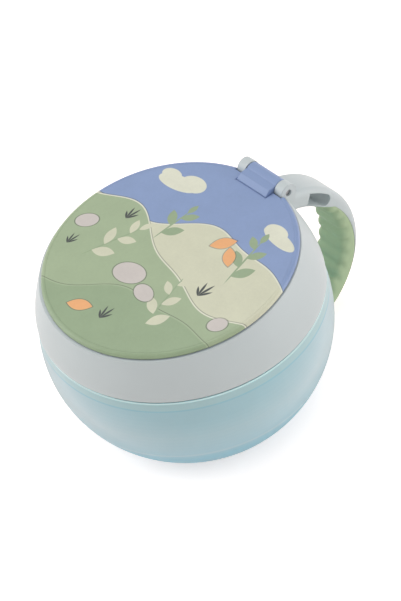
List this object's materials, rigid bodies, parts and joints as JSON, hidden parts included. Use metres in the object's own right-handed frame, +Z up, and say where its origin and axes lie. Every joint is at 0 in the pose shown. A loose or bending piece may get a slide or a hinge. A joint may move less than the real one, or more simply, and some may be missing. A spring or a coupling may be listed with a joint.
{
  "type": "toddler snack container",
  "caption": "Round snack bowl with a screw-on collar that carries a hinged lid, a C-shaped handle with a ribbed soft grip and a soft flap insert that keeps food in.",
  "frame": {"origin": "on the bowl's axis, at the centre of the flat base that it stands on", "axes": "+Z up along the bowl's axis, +Y towards the hinge and the handle, X along the lid's hinge pin"},
  "size_m": [0.0988, 0.1208, 0.0723],
  "materials": {
    "bowl_plastic": "translucent, glossy",
    "collar_plastic": "satin",
    "grip_rubber": "matte",
    "pin_steel": "drawn",
    "lid_plastic": "satin",
    "label_film": "printed, satin",
    "seal_rubber": "matte",
    "flap_rubber": "matte, slightly translucent"
  },
  "bodies": {
    "bowl": {"bowl": "bowl_plastic"},
    "insert": {"flap_ring": "flap_rubber"},
    "collar": {"collar": "collar_plastic", "handle_frame": "collar_plastic", "handle_grip": "grip_rubber", "hinge_pin": "pin_steel"},
    "lid": {"lid_shell": "lid_plastic", "lid_label": "label_film", "lid_seal": "seal_rubber"},
    "flap_1": {"flap_1": "flap_rubber"},
    "flap_2": {"flap_2": "flap_rubber"},
    "flap_3": {"flap_3": "flap_rubber"},
    "flap_4": {"flap_4": "flap_rubber"},
    "flap_5": {"flap_5": "flap_rubber"},
    "flap_6": {"flap_6": "flap_rubber"}
  },
  "joints": [
    {"name": "collar_lift", "type": "slide", "parent": "bowl", "child": "insert", "axis": [0, 0, 1], "range_m": [0, 0.012]},
    {"name": "collar_turn", "type": "hinge", "parent": "insert", "child": "collar", "pos_m": [0, 0, 0.0545], "axis": [0, 0, 1], "range_deg": [0, 360]},
    {"name": "lid_hinge", "type": "hinge", "parent": "collar", "child": "lid", "pos_m": [0, 0.0433, 0.0691], "axis": [-1, 0, 0], "range_deg": [0, 165]},
    {"name": "flap_1_bend", "type": "hinge", "parent": "insert", "child": "flap_1", "pos_m": [0.02385, 0, 0.0542], "axis": [0, -1, 0], "range_deg": [0, 60], "stiffness_Nm_per_rad": 0.008},
    {"name": "flap_2_bend", "type": "hinge", "parent": "insert", "child": "flap_2", "pos_m": [0.01192, 0.02065, 0.0542], "axis": [0.866, -0.5, 0], "range_deg": [0, 60], "stiffness_Nm_per_rad": 0.008},
    {"name": "flap_3_bend", "type": "hinge", "parent": "insert", "child": "flap_3", "pos_m": [-0.01192, 0.02065, 0.0542], "axis": [0.866, 0.5, 0], "range_deg": [0, 60], "stiffness_Nm_per_rad": 0.008},
    {"name": "flap_4_bend", "type": "hinge", "parent": "insert", "child": "flap_4", "pos_m": [-0.02385, 0, 0.0542], "axis": [0, 1, 0], "range_deg": [0, 60], "stiffness_Nm_per_rad": 0.008},
    {"name": "flap_5_bend", "type": "hinge", "parent": "insert", "child": "flap_5", "pos_m": [-0.01192, -0.02065, 0.0542], "axis": [-0.866, 0.5, 0], "range_deg": [0, 60], "stiffness_Nm_per_rad": 0.008},
    {"name": "flap_6_bend", "type": "hinge", "parent": "insert", "child": "flap_6", "pos_m": [0.01192, -0.02065, 0.0542], "axis": [-0.866, -0.5, 0], "range_deg": [0, 60], "stiffness_Nm_per_rad": 0.008}
  ],
  "couplings": [
    {"joint": "collar_lift", "follows": "collar_turn", "m_per_rad": 0.0019099}
  ]
}
